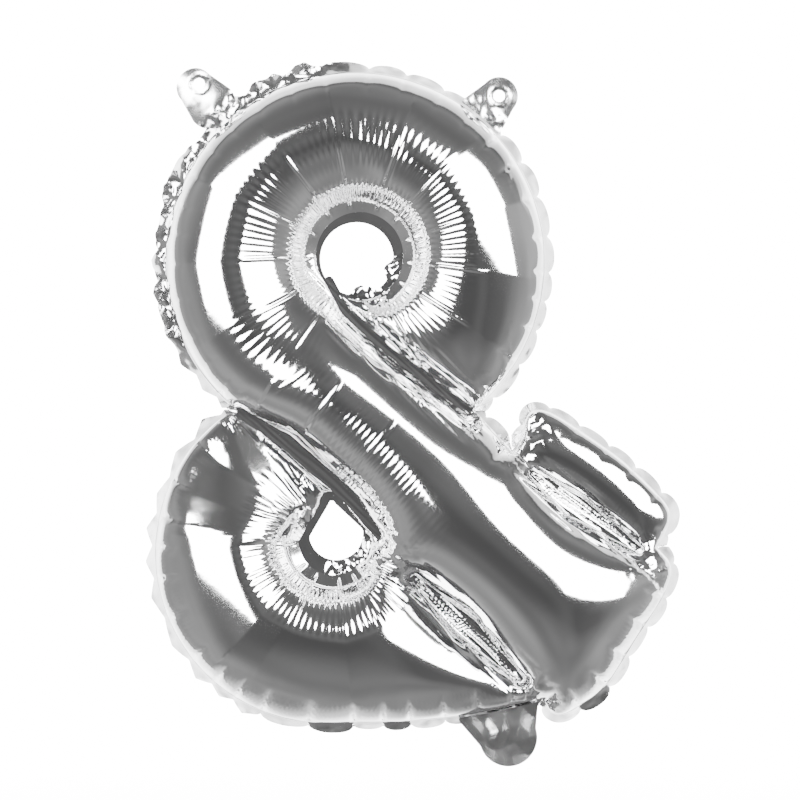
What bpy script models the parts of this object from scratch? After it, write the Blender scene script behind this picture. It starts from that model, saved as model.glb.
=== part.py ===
"""Ampersand foil balloon, air-filled: two welded foil sheets, their seams, two hanging tabs and a filling tail.

Metres, +Z up. The letter stands in the XZ plane and its front faces -Y. The origin is midway between the
holes of the two hanging tabs, which is where the string that carries it passes.
"""

import math

import bmesh
import bpy
import numpy as np
from mathutils import Vector
from mathutils.geometry import delaunay_2d_cdt

MM = 0.001

# Film and welds, as wall thicknesses and widths
FOIL_WALL = 1.5 * MM
WELD_THICKNESS = 1.0 * MM
HEM_WIDTH = 5.0 * MM
SEAT_GAP = 0.3 * MM
TAIL_PLY = 0.5 * MM
VALVE_PLY = 0.4 * MM

# The two bowls, as circles through the line where the foil meets the hem
UPPER_BOWL = (3.2 * MM, -91.2 * MM)
UPPER_BOWL_RADIUS = 100.7 * MM
LOWER_BOWL = (-12.7 * MM, -245.4 * MM)
LOWER_BOWL_RADIUS = 90.1 * MM

# Notches where two strokes of the letter meet
LEFT_NOTCH = (-57.8 * MM, -171.2 * MM)
RIGHT_NOTCH_TOP = (66.3 * MM, -169.6 * MM)
RIGHT_NOTCH_FOOT = (86.4 * MM, -191.3 * MM)
SIDE_NOTCH = (163.2 * MM, -242.2 * MM)
BOTTOM_NOTCH = (102.8 * MM, -322.2 * MM)

# The arm and the foot of the diagonal, clockwise from notch to notch
ARM = [
    (92.2 * MM, -182.0 * MM),
    (94.6 * MM, -170.2 * MM),
    (102.6 * MM, -169.0 * MM),
    (111.8 * MM, -173.3 * MM),
    (127.7 * MM, -184.0 * MM),
    (143.6 * MM, -195.0 * MM),
    (157.9 * MM, -208.4 * MM),
    (170.4 * MM, -221.4 * MM),
    (170.0 * MM, -230.6 * MM),
]
FOOT = [
    (172.3 * MM, -252.4 * MM),
    (168.5 * MM, -265.0 * MM),
    (161.7 * MM, -276.7 * MM),
    (153.2 * MM, -288.8 * MM),
    (144.6 * MM, -303.2 * MM),
    (135.7 * MM, -317.0 * MM),
    (123.4 * MM, -325.9 * MM),
    (112.9 * MM, -331.8 * MM),
    (105.6 * MM, -329.7 * MM),
]
BOWL_BASE = [
    (80.0 * MM, -328.0 * MM),
    (56.2 * MM, -332.3 * MM),
    (27.0 * MM, -335.0 * MM),
]

# The eyes: through holes in a flat weld, which the foil meets on a larger outline
UPPER_EYE = (5.6 * MM, -88.0 * MM)
UPPER_EYE_RADIUS = 23.0 * MM
UPPER_HOLE = (4.1 * MM, -89.6 * MM)
UPPER_HOLE_RADIUS = 19.4 * MM
LOWER_EYE = (-8.0 * MM, -238.0 * MM)
LOWER_EYE_RADIUS = 18.8 * MM
LOWER_HOLE = (-6.9 * MM, -234.8 * MM)
LOWER_HOLE_RADIUS = 14.3 * MM
LOWER_TIP = (-9.2 * MM, -219.0 * MM)
LOWER_TIP_RADIUS = 1.5 * MM
LOWER_TIP_WELD = 4.5 * MM

# Welds between the strokes: centre lines, with the half width at each point
UPPER_CROSSING = [
    (-10.6 * MM, -101.2 * MM),
    (-2.1 * MM, -117.1 * MM),
    (19.6 * MM, -137.3 * MM),
    (64.1 * MM, -170.7 * MM),
]
UPPER_CROSSING_HALF = [2.2 * MM, 2.2 * MM, 2.0 * MM, 2.0 * MM]
LOWER_CROSSING = [
    (-58.8 * MM, -170.7 * MM),
    (-33.9 * MM, -186.0 * MM),
    (1.1 * MM, -217.3 * MM),
    (15.5 * MM, -236.5 * MM),
]
LOWER_CROSSING_HALF = [2.0 * MM, 3.4 * MM, 3.2 * MM, 1.5 * MM]
LOWER_ISLAND = [(34.4 * MM, -258.6 * MM), (62.0 * MM, -284.6 * MM), (90.6 * MM, -312.2 * MM)]
RIGHT_ISLAND = [(97.0 * MM, -203.0 * MM), (119.8 * MM, -220.5 * MM), (153.2 * MM, -243.3 * MM)]
ISLAND_HALF = [1.5 * MM, 5.4 * MM, 1.5 * MM]

# The film lies flatter where a stroke curves round an eye, and left of the upper eye its crest leans outwards
STROKE_THINNING = 0.06
BOWL_THINNING = 0.2
UPPER_BOWL_START = -20.0 * MM
UPPER_BOWL_END = 45.0 * MM
LOWER_BOWL_BLEND = 8.0 * MM
LEAN_POWER = 2.5
LEAN_FULL = -10.0 * MM
LEAN_NONE = 50.0 * MM

# Hanging tabs: flat ears, each with a punched hole
TAB_LEFT = (-81.6 * MM, 1.6 * MM)
TAB_LEFT_HOLE = (-79.5 * MM, 3.2 * MM)
TAB_RIGHT = (79.5 * MM, -3.2 * MM)
TAB_RIGHT_HOLE = (79.5 * MM, -3.2 * MM)
TAB_HOLE_RADIUS = 3.2 * MM
TAB_RADIUS = 10.0 * MM
TAB_ROOT_HALF = 13.0 * MM

# Filling tail below the bottom notch
TAIL_ROOT = (79.5 * MM, -328.0 * MM)
TAIL_END = (84.3 * MM, -342.9 * MM)
TAIL_ROOT_HALF = 22.0 * MM
TAIL_END_HALF = 15.4 * MM
VALVE_HALF = 8.0 * MM
VALVE_LENGTH = 20.0 * MM

# Fineness of the faceted solids
CONTOUR_STEP = 0.8 * MM
CONTOUR_TOLERANCE = 0.1 * MM
HEM_STEP = 0.7 * MM
PLATE_STEP = 0.5 * MM
PLATE_EDGE = 30.0 * MM
FOIL_EDGE = 7.0 * MM
FOIL_FACET = 11.5 * MM
FOIL_RIMS = (1.6 * MM, 6.4 * MM)


def arc(centre, radius, start_deg, end_deg, step_deg=3.0):
    """Points along a circle, angles measured from +X towards +Z."""
    count = max(2, round(abs(end_deg - start_deg) / step_deg))
    angles = np.radians(np.linspace(start_deg, end_deg, count + 1))
    return [(centre[0] + radius * math.cos(a), centre[1] + radius * math.sin(a)) for a in angles]


def bearing(centre, point):
    """Angle in degrees of a point seen from a centre."""
    return math.degrees(math.atan2(point[1] - centre[1], point[0] - centre[0]))


def smooth(points, rounds=2):
    """An open run of points with its corners cut (Chaikin), keeping both ends."""
    for _ in range(rounds):
        cut = [points[0]]
        for (ax, az), (bx, bz) in zip(points, points[1:]):
            cut.append((0.75 * ax + 0.25 * bx, 0.75 * az + 0.25 * bz))
            cut.append((0.25 * ax + 0.75 * bx, 0.25 * az + 0.75 * bz))
        cut.append(points[-1])
        points = cut
    return points


def letter_runs():
    """The line where the inflated foil meets the hem, clockwise, as one run of points from notch to notch."""
    left = bearing(UPPER_BOWL, LEFT_NOTCH) + 360.0
    right = bearing(UPPER_BOWL, RIGHT_NOTCH_TOP)
    upper_bowl = [LEFT_NOTCH]
    upper_bowl += arc(UPPER_BOWL, UPPER_BOWL_RADIUS, left - 2.0, right + 1.0)
    upper_bowl += [RIGHT_NOTCH_TOP, RIGHT_NOTCH_FOOT]
    arm = smooth([RIGHT_NOTCH_FOOT] + ARM + [SIDE_NOTCH])
    foot = smooth([SIDE_NOTCH] + FOOT + [BOTTOM_NOTCH])
    lower_bowl = smooth([BOTTOM_NOTCH] + BOWL_BASE)
    lower_bowl += arc(LOWER_BOWL, LOWER_BOWL_RADIUS, 270.0, bearing(LOWER_BOWL, LEFT_NOTCH) + 4.0)
    lower_bowl += [LEFT_NOTCH]
    return {"upper_bowl": upper_bowl, "arm": arm, "foot": foot, "lower_bowl": lower_bowl}


def distance_to_line(points, line):
    """Distance of each point to an open run of points."""
    best = np.full(len(points), np.inf)
    for a, b in zip(line[:-1], line[1:]):
        run = b - a
        along = np.clip(((points - a) @ run) / float(run @ run), 0.0, 1.0)
        gap = points - a - along[:, None] * run
        best = np.minimum(best, np.einsum("ij,ij->i", gap, gap))
    return np.sqrt(best)


def inside_polygon(points, polygon):
    """Which points a closed polygon holds, by counting the edges to their right."""
    inside = np.zeros(len(points), bool)
    for a, b in zip(polygon, np.roll(polygon, -1, axis=0)):
        crosses = (a[1] > points[:, 1]) != (b[1] > points[:, 1])
        if a[1] != b[1]:
            at = a[0] + (points[:, 1] - a[1]) * (b[0] - a[0]) / (b[1] - a[1])
            inside ^= crosses & (points[:, 0] < at)
    return inside


def distance_to_circle(points, centre, radius):
    return np.hypot(points[:, 0] - centre[0], points[:, 1] - centre[1]) - radius


def distance_to_band(points, line, halves):
    """Distance to a band along a line of points, whose half width changes from point to point."""
    best = np.full(len(points), np.inf)
    for (a, b), (half_a, half_b) in zip(zip(line, line[1:]), zip(halves, halves[1:])):
        a, b = np.array(a), np.array(b)
        run = b - a
        along = np.clip(((points - a) @ run) / float(run @ run), 0.0, 1.0)
        gap = points - a - along[:, None] * run
        half = half_a + (half_b - half_a) * along
        best = np.minimum(best, np.hypot(gap[:, 0], gap[:, 1]) - half)
    return best


def outer(points):
    """Signed distance to the letter's outline, negative inside."""
    away = distance_to_line(points, np.vstack([OUTLINE, OUTLINE[:1]]))
    return np.where(inside_polygon(points, OUTLINE), -away, away)


def upper_crossing(points):
    return distance_to_band(points, UPPER_CROSSING, UPPER_CROSSING_HALF)


def lower_crossing(points):
    return distance_to_band(points, LOWER_CROSSING, LOWER_CROSSING_HALF)


def upper_eye_hole(points):
    return distance_to_circle(points, UPPER_HOLE, UPPER_HOLE_RADIUS)


def upper_ring(points):
    return distance_to_circle(points, UPPER_EYE, UPPER_EYE_RADIUS)


def lower_eye_hole(points):
    radii = [LOWER_HOLE_RADIUS, LOWER_TIP_RADIUS]
    return distance_to_band(points, [LOWER_HOLE, LOWER_TIP], radii)


def lower_ring(points):
    radii = [LOWER_EYE_RADIUS, LOWER_TIP_RADIUS + LOWER_TIP_WELD]
    return distance_to_band(points, [LOWER_EYE, LOWER_TIP], radii)


def lower_island(points):
    return distance_to_band(points, LOWER_ISLAND, ISLAND_HALF)


def right_island(points):
    return distance_to_band(points, RIGHT_ISLAND, ISLAND_HALF)


WELDS = (upper_crossing, lower_crossing, upper_ring, lower_ring, lower_island, right_island)


def foil_region(points):
    """Negative where the two sheets stand apart: inside the letter and outside every weld."""
    welds = np.min([weld(points) for weld in WELDS], axis=0)
    return np.maximum(outer(points), -welds)


def contours(region, low, high, step):
    """Closed loops where a region's function crosses zero, by marching squares on a grid."""
    xs = np.arange(low[0] - 2 * step, high[0] + 3 * step, step)
    zs = np.arange(low[1] - 2 * step, high[1] + 3 * step, step)
    grid = np.stack(np.meshgrid(xs, zs, indexing="ij"), axis=-1)
    value = region(grid.reshape(-1, 2)).reshape(len(xs), len(zs))
    value[value == 0.0] = 1e-12
    follow = {}
    place = {}

    def crossing(i0, j0, i1, j1):
        key = (min((i0, j0), (i1, j1)), max((i0, j0), (i1, j1)))
        if key not in place:
            a, b = value[i0, j0], value[i1, j1]
            at = a / (a - b)
            place[key] = grid[i0, j0] * (1 - at) + grid[i1, j1] * at
        return key

    signs = value < 0
    mixed = signs[:-1, :-1].astype(int) + signs[1:, :-1] + signs[1:, 1:] + signs[:-1, 1:]
    for i, j in np.argwhere((mixed > 0) & (mixed < 4)):
        ring = [(i, j), (i + 1, j), (i + 1, j + 1), (i, j + 1)]
        cuts = []
        for p, q in zip(ring, ring[1:] + ring[:1]):
            if signs[p] != signs[q]:
                cuts.append((crossing(*p, *q), bool(signs[p])))
        leaves = [key for key, goes_out in cuts if goes_out]
        enters = [key for key, goes_out in cuts if not goes_out]
        if len(leaves) == 2 and cuts[0][1]:
            enters = enters[1:] + enters[:1]
        for start, end in zip(leaves, enters):
            follow[start] = end
    loops = []
    while follow:
        start, key = follow.popitem()
        loop = [place[start]]
        while key != start:
            loop.append(place[key])
            key = follow.pop(key)
        loops.append(np.array(loop))
    return loops


def simplify(loop, tolerance):
    """A closed loop with only the points that keep it within a tolerance (Douglas-Peucker)."""
    far = int(np.argmax(np.hypot(*(loop - loop[0]).T)))
    keep = np.zeros(len(loop) + 1, bool)
    keep[[0, far, len(loop)]] = True
    closed = np.vstack([loop, loop[:1]])
    spans = [(0, far), (far, len(loop))]
    while spans:
        first, last = spans.pop()
        if last - first < 2:
            continue
        a, b = closed[first], closed[last]
        run = b - a
        length = float(np.hypot(*run))
        inner = closed[first + 1 : last] - a
        off = np.abs(inner[:, 0] * run[1] - inner[:, 1] * run[0]) / length
        worst = int(np.argmax(off))
        if off[worst] > tolerance:
            middle = first + 1 + worst
            keep[middle] = True
            spans += [(first, middle), (middle, last)]
    return closed[:-1][keep[:-1]]


def refine(loop, longest):
    """A closed loop whose long edges are split evenly."""
    out = []
    for a, b in zip(loop, np.roll(loop, -1, axis=0)):
        pieces = max(1, math.ceil(float(np.hypot(*(b - a))) / longest))
        out += [a + (b - a) * k / pieces for k in range(pieces)]
    return np.array(out)


def region_loops(region, low, high, longest, step=CONTOUR_STEP):
    loops = [simplify(loop, CONTOUR_TOLERANCE) for loop in contours(region, low, high, step)]
    return [refine(loop, longest) for loop in loops if len(loop) > 3]


def triangulate(loops, inner_points, region):
    """Triangles of the area that the loops bound, using the inner points too."""
    points = [Vector(p) for loop in loops for p in loop]
    edges = []
    start = 0
    for loop in loops:
        edges += [(start + k, start + (k + 1) % len(loop)) for k in range(len(loop))]
        start += len(loop)
    points += [Vector(p) for p in inner_points]
    places, _, faces, _, _, _ = delaunay_2d_cdt(points, edges, [], 0, 1e-7)
    places = np.array([tuple(p) for p in places])
    faces = np.array([face for face in faces if len(face) == 3])
    faces = faces[region(places[faces].mean(axis=1)) < 0]
    turn = np.cross(places[faces[:, 1]] - places[faces[:, 0]], places[faces[:, 2]] - places[faces[:, 0]])
    faces[turn < 0] = faces[turn < 0][:, ::-1]
    return places, faces


def rim_edges(faces):
    """Edges that one triangle only uses, in that triangle's direction."""
    sides = np.concatenate([faces[:, [0, 1]], faces[:, [1, 2]], faces[:, [2, 0]]])
    seen = {tuple(side) for side in sides.tolist()}
    return [side for side in seen if (side[1], side[0]) not in seen]


def new_object(name, points, faces, material):
    mesh = bpy.data.meshes.new(name)
    mesh.from_pydata([tuple(p) for p in points], [], [tuple(f) for f in faces])
    mesh.update()
    shape = bmesh.new()
    shape.from_mesh(mesh)
    bmesh.ops.recalc_face_normals(shape, faces=shape.faces)
    shape.to_mesh(mesh)
    shape.free()
    mesh.materials.append(material)
    piece = bpy.data.objects.new(name, mesh)
    bpy.context.scene.collection.objects.link(piece)
    piece.parent = BODY
    return piece


def plate(name, region, low, high, thickness, material, middle=0.0, step=PLATE_STEP):
    """A flat piece in the seam plane: a region of XZ, with a thickness along Y."""
    loops = region_loops(region, low, high, PLATE_EDGE, step)
    places, faces = triangulate(loops, [], region)
    count = len(places)
    front = np.column_stack([places[:, 0], np.full(count, middle - thickness / 2), places[:, 1]])
    back = front + (0.0, thickness, 0.0)
    sides = []
    for a, b in rim_edges(faces):
        sides += [(a, a + count, b), (b, a + count, b + count)]
    everything = faces.tolist() + (faces[:, ::-1] + count).tolist() + sides
    return new_object(name, np.vstack([front, back]), everything, material)


def ramp(value, start, end):
    """Rises smoothly from 0 at the start to 1 at the end."""
    at = np.clip((value - start) / (end - start), 0.0, 1.0)
    return at * at * (3.0 - 2.0 * at)


def along_and_across(points, start, end):
    """Each point's distance along the line from start to end, and to its upper right side."""
    run = np.array(end) - np.array(start)
    run /= np.hypot(*run)
    off = points - np.array(start)
    return off @ run, off @ np.array([-run[1], run[0]])


def bowl_shares(points):
    """How much each point belongs to the upper and to the lower bowl, the rest being straight strokes."""
    along, across = along_and_across(points, UPPER_CROSSING[0], UPPER_CROSSING[-1])
    upper = np.where(across > 0, 1.0, 1.0 - ramp(along, UPPER_BOWL_START, UPPER_BOWL_END))
    across = along_and_across(points, LEFT_NOTCH, BOTTOM_NOTCH)[1]
    lower = 1.0 - ramp(across, -LOWER_BOWL_BLEND, LOWER_BOWL_BLEND)
    return upper * (1.0 - lower), lower


def lean_weight(points):
    """The film's weight in the height equation. Where it falls with the radius, the crest moves outwards."""
    leaning = bowl_shares(points)[0] * (1.0 - ramp(points[:, 0], LEAN_FULL, LEAN_NONE))
    radius = distance_to_circle(points, UPPER_EYE, 0.0)
    return (radius / UPPER_BOWL_RADIUS) ** (-LEAN_POWER * leaning)


def inflated_height(places, faces, fixed):
    """Half thickness of the inflated foil: the square root of twice the solution of a Poisson equation.

    Even weight on a straight stroke gives a circular section, and where strokes meet it swells as film does.
    """
    weight = lean_weight(places[faces].mean(axis=1))
    count = len(places)
    stiffness = np.zeros((count, count))
    load = np.zeros(count)
    for k in range(3):
        i, j, apex = faces[:, k], faces[:, (k + 1) % 3], faces[:, (k + 2) % 3]
        u, v = places[i] - places[apex], places[j] - places[apex]
        cross = np.abs(u[:, 0] * v[:, 1] - u[:, 1] * v[:, 0])
        half_cot = 0.5 * weight * np.einsum("ij,ij->i", u, v) / np.maximum(cross, 1e-12)
        np.add.at(stiffness, (i, i), half_cot)
        np.add.at(stiffness, (j, j), half_cot)
        np.add.at(stiffness, (i, j), -half_cot)
        np.add.at(stiffness, (j, i), -half_cot)
        np.add.at(load, apex, weight * cross / 6)
    free = ~fixed
    potential = np.zeros(count)
    potential[free] = np.linalg.solve(stiffness[np.ix_(free, free)], load[free])
    thinning = 1.0 - STROKE_THINNING - BOWL_THINNING * np.sum(bowl_shares(places), axis=0)
    return thinning * np.sqrt(2.0 * np.maximum(potential, 0.0))


def hex_points(low, high, step):
    rows = []
    for k, z in enumerate(np.arange(low[1], high[1], step * math.sqrt(3) / 2)):
        xs = np.arange(low[0] + (k % 2) * step / 2, high[0], step)
        rows.append(np.column_stack([xs, np.full(len(xs), z)]))
    return np.vstack(rows)


def foil_sheet():
    """The front sheet over the foil region: plane places, triangles, which points are on a weld, heights."""
    low, high = OUTLINE.min(axis=0), OUTLINE.max(axis=0)
    loops = region_loops(foil_region, low, high, FOIL_EDGE)
    inner = []
    for depth in FOIL_RIMS:
        rims = region_loops(lambda p: foil_region(p) + depth, low, high, FOIL_EDGE + depth / 4)
        inner += [refine(simplify(rim, 0.25 * MM), FOIL_EDGE + depth / 3) for rim in rims]
    grid = hex_points(low, high, FOIL_FACET)
    inner.append(grid[foil_region(grid) < -FOIL_RIMS[-1] - FOIL_FACET * 0.55])
    inner = np.vstack(inner)
    places, faces = triangulate(loops, inner, foil_region)
    rim = {end for edge in rim_edges(faces) for end in edge}
    fixed = np.zeros(len(places), bool)
    fixed[list(rim)] = True
    return places, faces, fixed, inflated_height(places, faces, fixed)


def foil_skin(name, sheet, side, material):
    """One sheet of film as a thin open shell on the -Y (side -1) or the +Y (side 1) half of the letter."""
    places, faces, fixed, height = sheet
    count = len(places)
    out = np.column_stack([places[:, 0], -height - SEAT_GAP / 2, places[:, 1]])
    normal = np.zeros((count, 3))
    flat = np.cross(out[faces[:, 1]] - out[faces[:, 0]], out[faces[:, 2]] - out[faces[:, 0]])
    for k in range(3):
        np.add.at(normal, faces[:, k], flat)
    normal[fixed, 1] = 0.0
    normal /= np.maximum(np.linalg.norm(normal, axis=1), 1e-12)[:, None]
    if normal[np.argmax(height), 1] > 0:
        normal = -normal
    inside = out - normal * FOIL_WALL
    inside[:, 1] = np.minimum(inside[:, 1], -SEAT_GAP / 2)
    sides = []
    for a, b in rim_edges(faces):
        sides += [(a, a + count, b), (b, a + count, b + count)]
    everything = faces.tolist() + (faces[:, ::-1] + count).tolist() + sides
    points = np.vstack([out, inside])
    points[:, 1] *= -side
    skin = new_object(name, points, everything, material)
    skin.data.shade_smooth()
    skin.data.set_sharp_from_angle(angle=math.radians(60))
    return skin


def hem_stretch(name):
    """The hem beside one run of the outline, held off the next stretch along the notch between them."""

    def region(points):
        away = outer(points)
        own = distance_to_line(points, np.array(RUNS[name]))
        rest = [distance_to_line(points, np.array(run)) for key, run in RUNS.items() if key != name]
        beside_rest = own - np.min(rest, axis=0) + SEAT_GAP
        return np.max([away - SEAT_GAP - HEM_WIDTH, SEAT_GAP - away, beside_rest], axis=0)

    return region


def seam_inside(weld, *others):
    """A weld's own area: held off the foil and the hem, and off the other seams that it meets."""

    def region(points):
        value = np.maximum(weld(points) + SEAT_GAP, outer(points) + SEAT_GAP)
        for other in others:
            value = np.maximum(value, SEAT_GAP - other(points))
        return value

    return region


def outside_hem(points):
    return SEAT_GAP * 2 + HEM_WIDTH - outer(points)


def tab(ear, hole):
    """A flat ear: a round lobe, widening to the hem, with the hole punched out."""
    inward = np.array(UPPER_BOWL) - np.array(ear)
    root = np.array(ear) + inward / np.hypot(*inward) * TAB_ROOT_HALF

    def region(points):
        lobe = distance_to_band(points, [ear, tuple(root)], [TAB_RADIUS, TAB_ROOT_HALF])
        punched = -distance_to_circle(points, hole, TAB_HOLE_RADIUS)
        return np.max([lobe, punched, outside_hem(points)], axis=0)

    return region


def tail(points):
    """The filling tail, narrowing from the hem to its rounded end."""
    lobe = distance_to_band(points, [TAIL_ROOT, TAIL_END], [TAIL_ROOT_HALF, TAIL_END_HALF])
    return np.maximum(lobe, outside_hem(points))


def valve(points):
    """The valve tube's flat film, a rounded tongue down the middle of the tail."""
    end = np.array(TAIL_END) - np.array(TAIL_ROOT)
    end = np.array(TAIL_ROOT) + end / np.hypot(*end) * VALVE_LENGTH
    tongue = distance_to_band(points, [TAIL_ROOT, tuple(end)], [VALVE_HALF, VALVE_HALF])
    return np.maximum(tongue, outside_hem(points))


def around(*centres, reach):
    corners = np.array(centres)
    return corners.min(axis=0) - reach, corners.max(axis=0) + reach


def film(name, colour, roughness):
    material = bpy.data.materials.new(name)
    material.use_nodes = True
    shader = material.node_tree.nodes["Principled BSDF"]
    shader.inputs["Base Color"].default_value = (*colour, 1.0)
    shader.inputs["Metallic"].default_value = 1.0
    shader.inputs["Roughness"].default_value = roughness
    return material


def build_sheets():
    sheet = foil_sheet()
    foil_skin("front_foil", sheet, -1, film("silver_foil_front", (0.86, 0.86, 0.87), 0.06))
    foil_skin("back_foil", sheet, 1, film("silver_foil_back", (0.86, 0.86, 0.87), 0.06))


def build_seams():
    edge = film("hem_foil", (0.82, 0.82, 0.83), 0.14)
    for name, run in RUNS.items():
        box = around(*run, reach=2 * HEM_WIDTH)
        plate(f"{name}_hem", hem_stretch(name), *box, WELD_THICKNESS, edge, step=HEM_STEP)
    weld = film("weld_foil", (0.80, 0.80, 0.81), 0.2)
    ring = seam_inside(upper_ring, lambda p: upper_eye_hole(p) + SEAT_GAP, upper_crossing)
    box = around(UPPER_EYE, reach=2 * UPPER_EYE_RADIUS)
    plate("upper_eye_seam", ring, *box, WELD_THICKNESS, weld)
    ring = seam_inside(lower_ring, lambda p: lower_eye_hole(p) + SEAT_GAP, lower_crossing)
    box = around(LOWER_EYE, reach=2 * LOWER_EYE_RADIUS)
    plate("lower_eye_seam", ring, *box, WELD_THICKNESS, weld)
    for name, line, region in (
        ("upper_crossing_seam", UPPER_CROSSING, upper_crossing),
        ("lower_crossing_seam", LOWER_CROSSING, lower_crossing),
        ("lower_weld_island", LOWER_ISLAND, lower_island),
        ("right_weld_island", RIGHT_ISLAND, right_island),
    ):
        box = around(*line, reach=2 * max(ISLAND_HALF))
        plate(name, seam_inside(region), *box, WELD_THICKNESS, weld)


def build_tabs():
    foil = film("tab_foil", (0.84, 0.84, 0.85), 0.12)
    for name, ear, hole in (
        ("hang_tab_left", TAB_LEFT, TAB_LEFT_HOLE),
        ("hang_tab_right", TAB_RIGHT, TAB_RIGHT_HOLE),
    ):
        box = around(ear, reach=3 * TAB_ROOT_HALF)
        plate(name, tab(ear, hole), *box, WELD_THICKNESS, foil)


def build_tail():
    box = around(TAIL_ROOT, TAIL_END, reach=TAIL_ROOT_HALF + HEM_WIDTH)
    foil = film("tail_foil", (0.83, 0.83, 0.84), 0.12)
    clear = film("valve_foil", (0.78, 0.78, 0.79), 0.3)
    middle = VALVE_PLY / 2 + SEAT_GAP + TAIL_PLY / 2
    plate("fill_tail_front", tail, *box, TAIL_PLY, foil, middle=-middle)
    plate("fill_tail_back", tail, *box, TAIL_PLY, foil, middle=middle)
    plate("valve_film", valve, *box, VALVE_PLY, clear)


for leftover in list(bpy.data.objects):
    bpy.data.objects.remove(leftover, do_unlink=True)
RUNS = letter_runs()
OUTLINE = np.vstack([run[:-1] for run in RUNS.values()])
BODY = bpy.data.objects.new("balloon", None)
bpy.context.scene.collection.objects.link(BODY)
build_sheets()
build_seams()
build_tabs()
build_tail()
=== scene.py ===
import math

import bpy
import numpy as np
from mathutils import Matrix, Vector
from mathutils.geometry import delaunay_2d_cdt

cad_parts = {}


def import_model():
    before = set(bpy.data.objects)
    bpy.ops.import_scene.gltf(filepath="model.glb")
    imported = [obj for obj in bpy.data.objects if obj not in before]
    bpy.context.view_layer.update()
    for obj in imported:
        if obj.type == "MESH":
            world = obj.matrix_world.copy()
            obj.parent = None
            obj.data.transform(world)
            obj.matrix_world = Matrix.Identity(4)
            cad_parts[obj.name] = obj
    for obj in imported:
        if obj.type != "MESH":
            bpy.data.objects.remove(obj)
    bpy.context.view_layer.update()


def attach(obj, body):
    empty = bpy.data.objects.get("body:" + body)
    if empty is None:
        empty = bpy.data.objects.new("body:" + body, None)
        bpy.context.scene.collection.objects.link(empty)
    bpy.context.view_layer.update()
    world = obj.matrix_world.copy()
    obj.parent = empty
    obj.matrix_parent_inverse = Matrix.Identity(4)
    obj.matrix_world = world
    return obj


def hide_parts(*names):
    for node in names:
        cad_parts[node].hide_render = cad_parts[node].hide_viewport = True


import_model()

MM = 0.001

# ---- The letter's lines, in millimetres, as the CAD states them ----
UPPER_BOWL, UPPER_BOWL_RADIUS = (3.2, -91.2), 100.7
LOWER_BOWL, LOWER_BOWL_RADIUS = (-12.7, -245.4), 90.1
LEFT_NOTCH = (-57.8, -171.2)
RIGHT_NOTCH_TOP = (66.3, -169.6)
RIGHT_NOTCH_FOOT = (86.4, -191.3)
SIDE_NOTCH = (163.2, -242.2)
BOTTOM_NOTCH = (102.8, -322.2)
ARM = [(92.2, -182.0), (94.6, -170.2), (102.6, -169.0), (111.8, -173.3), (127.7, -184.0),
       (143.6, -195.0), (157.9, -208.4), (170.4, -221.4), (170.0, -230.6)]
FOOT = [(172.3, -252.4), (168.5, -265.0), (161.7, -276.7), (153.2, -288.8), (144.6, -303.2),
        (135.7, -317.0), (123.4, -325.9), (112.9, -331.8), (105.6, -329.7)]
BOWL_BASE = [(80.0, -328.0), (56.2, -332.3), (27.0, -335.0)]
UPPER_EYE, UPPER_EYE_RADIUS = (5.6, -88.0), 23.0
UPPER_HOLE, UPPER_HOLE_RADIUS = (4.1, -89.6), 19.4
LOWER_EYE, LOWER_EYE_RADIUS = (-8.0, -238.0), 18.8
LOWER_HOLE, LOWER_HOLE_RADIUS = (-6.9, -234.8), 14.3
LOWER_TIP, LOWER_TIP_RADIUS, LOWER_TIP_WELD = (-9.2, -219.0), 1.5, 4.5
UPPER_CROSSING = [(-10.6, -101.2), (-2.1, -117.1), (19.6, -137.3), (64.1, -170.7)]
UPPER_CROSSING_HALF = [2.2, 2.2, 2.0, 2.0]
LOWER_CROSSING = [(-58.8, -170.7), (-33.9, -186.0), (1.1, -217.3), (15.5, -236.5)]
LOWER_CROSSING_HALF = [2.0, 3.4, 3.2, 1.5]
LOWER_ISLAND = [(34.4, -258.6), (62.0, -284.6), (90.6, -312.2)]
RIGHT_ISLAND = [(97.0, -203.0), (119.8, -220.5), (153.2, -243.3)]
ISLAND_HALF = [1.5, 5.4, 1.5]
TAB_LEFT, TAB_LEFT_HOLE = (-81.6, 1.6), (-79.5, 3.2)
TAB_RIGHT, TAB_RIGHT_HOLE = (79.5, -3.2), (79.5, -3.2)
TAB_HOLE_RADIUS, TAB_RADIUS, TAB_ROOT_HALF = 3.2, 10.0, 13.0
TAIL_ROOT, TAIL_END = (79.5, -328.0), (84.3, -342.9)
TAIL_ROOT_HALF, TAIL_END_HALF = 22.0, 15.4
VALVE_HALF, VALVE_LENGTH = 8.0, 20.0
UPPER_BOWL_START, UPPER_BOWL_END, LOWER_BOWL_BLEND = -20.0, 45.0, 8.0
LEAN_POWER, LEAN_FULL, LEAN_NONE = 2.5, -10.0, 50.0
STROKE_THINNING, BOWL_THINNING = 0.06, 0.2

# ---- What only the looks need, in mm and degrees ----
EYE_WALL_SLOPE, CROSSING_WALL_SLOPE = 0.62, 0.9
UPPER_COMB_PITCH, LOWER_COMB_PITCH, DIAGONAL_COMB_PITCH = 3.55, 4.3, 3.35
UPPER_GATHER_PITCH, LOWER_GATHER_PITCH = 4.1, 4.6
LOBE_PITCH = 19.0
FILM, TAIL_FILM = 0.25, 0.2
SKIN_CLEARANCE = 0.3
SEEN_WHITE, ROOM_LIGHT, FLOOR_GLOW = 18.0, 8.0, 12.0


def arc(centre, radius, start_deg, end_deg, step_deg=2.0):
    count = max(2, round(abs(end_deg - start_deg) / step_deg))
    angles = np.radians(np.linspace(start_deg, end_deg, count + 1))
    return [(centre[0] + radius * math.cos(a), centre[1] + radius * math.sin(a)) for a in angles]


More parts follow.
